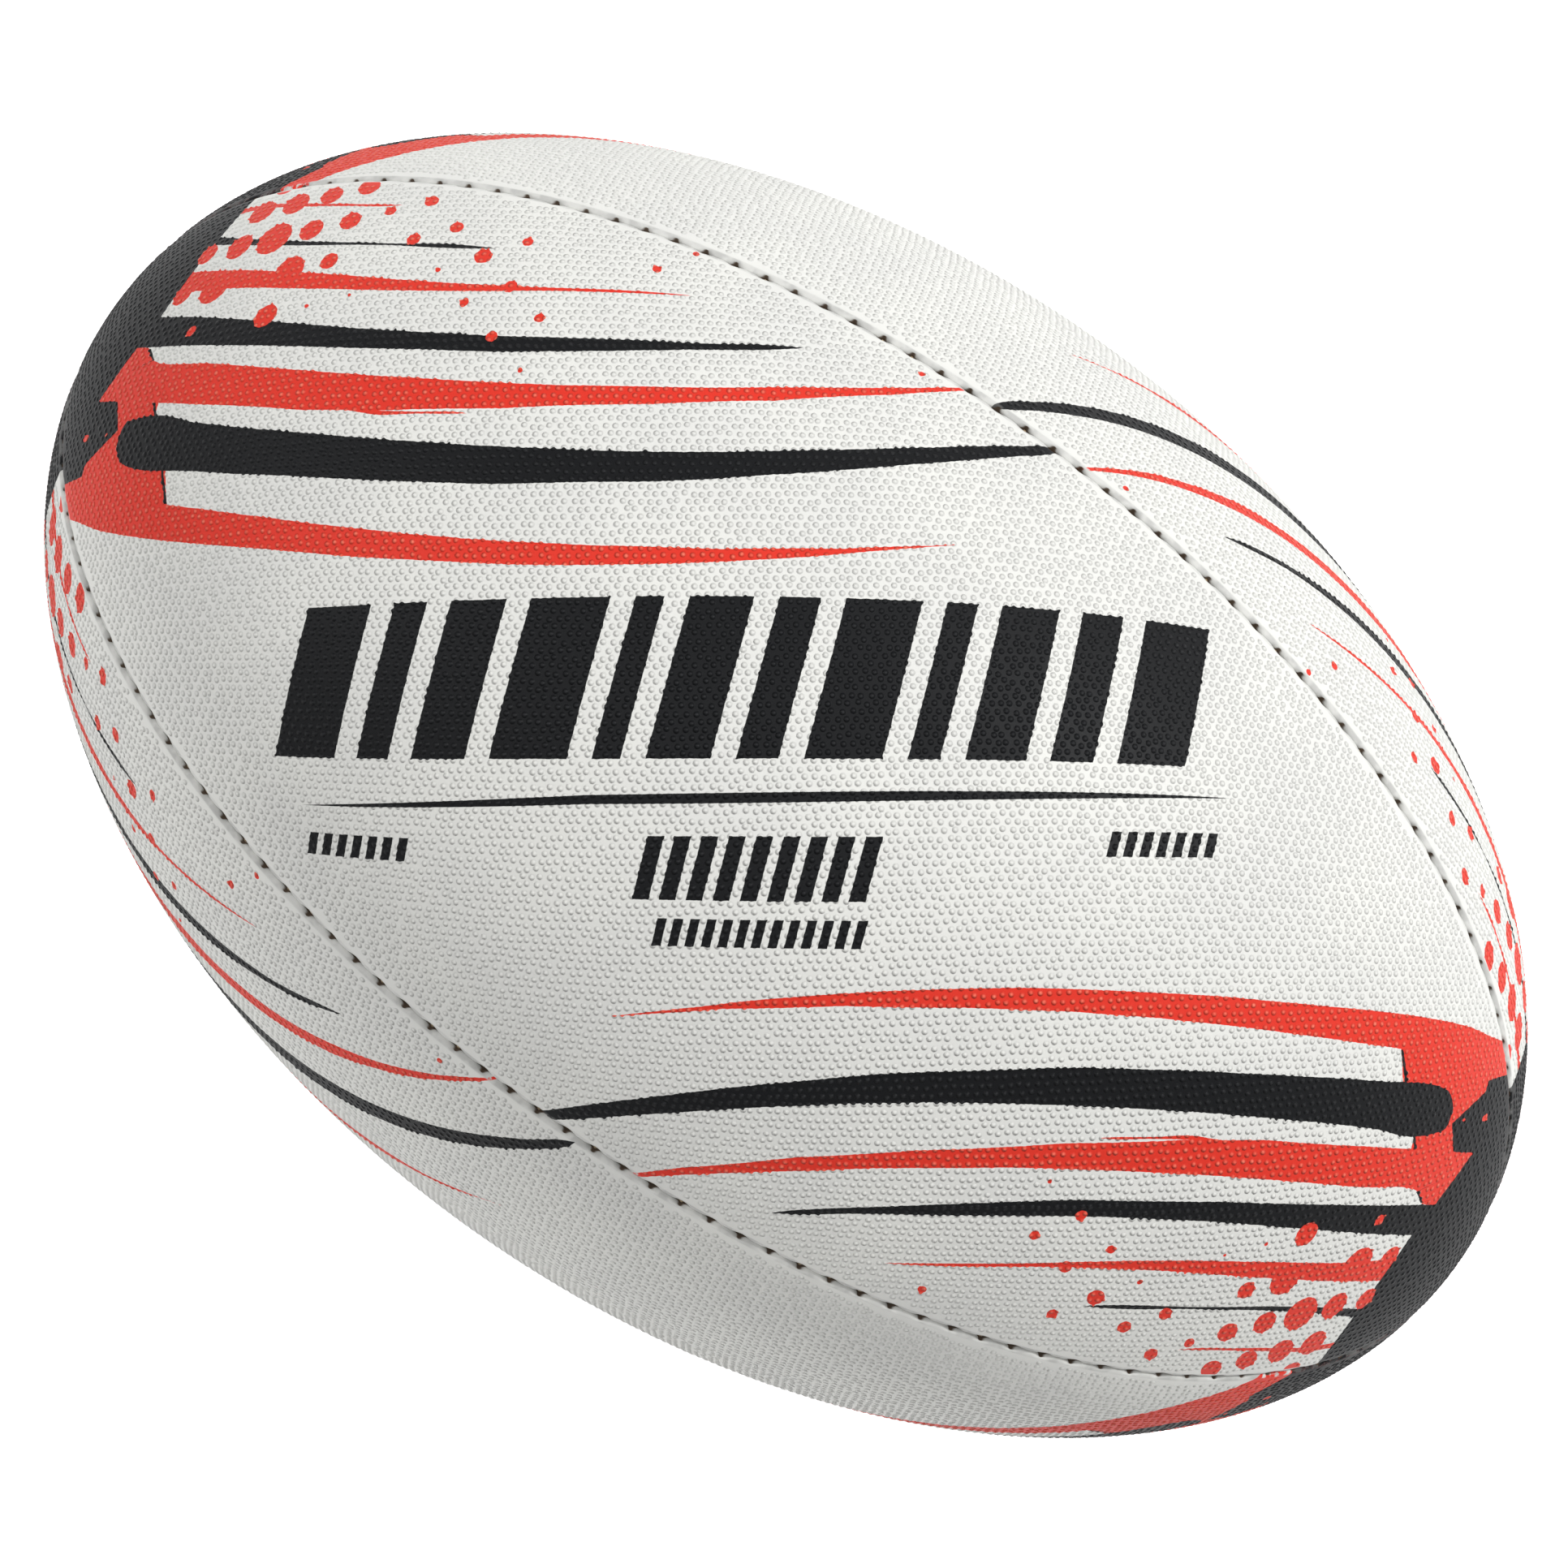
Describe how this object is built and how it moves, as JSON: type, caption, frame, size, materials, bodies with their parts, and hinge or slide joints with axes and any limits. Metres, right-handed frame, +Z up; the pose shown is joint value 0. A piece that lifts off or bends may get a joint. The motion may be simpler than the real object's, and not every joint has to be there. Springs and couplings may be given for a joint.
{
  "type": "rugby ball",
  "caption": "Prolate four-panel rugby ball with pimpled rubber panels, sewn seams, cloth lining, bladder and needle valve.",
  "frame": {"origin": "centre of the ball, where the long axis meets the waist", "axes": "+X along the long axis from tip to tip, +Z up through the middle of the top panel as the ball lies on its side, +Y towards the back panel"},
  "size_m": [0.2878, 0.19, 0.19],
  "materials": {
    "cover_rubber": "matte pimpled rubber, white with black and red print",
    "lining_cloth": "plain woven polyester and cotton, latex laminated",
    "waxed_thread": "twisted waxed polyester",
    "bladder_rubber": "smooth butyl rubber, satin",
    "valve_rubber": "moulded rubber, satin"
  },
  "bodies": {
    "root": {"panel_top": "cover_rubber", "panel_front": "cover_rubber", "panel_bottom": "cover_rubber", "panel_back": "cover_rubber", "lining_outer_top": "lining_cloth", "lining_outer_front": "lining_cloth", "lining_outer_bottom": "lining_cloth", "lining_outer_back": "lining_cloth", "lining_middle_top": "lining_cloth", "lining_middle_front": "lining_cloth", "lining_middle_bottom": "lining_cloth", "lining_middle_back": "lining_cloth", "lining_inner_top": "lining_cloth", "lining_inner_front": "lining_cloth", "lining_inner_bottom": "lining_cloth", "lining_inner_back": "lining_cloth", "seam_thread_top_front": "waxed_thread", "seam_thread_front_bottom": "waxed_thread", "seam_thread_bottom_back": "waxed_thread", "seam_thread_back_top": "waxed_thread", "lining_valve_patch": "lining_cloth", "bladder": "bladder_rubber", "bladder_valve_patch": "bladder_rubber", "valve_housing": "valve_rubber", "valve_plug": "valve_rubber"}
  },
  "joints": []
}
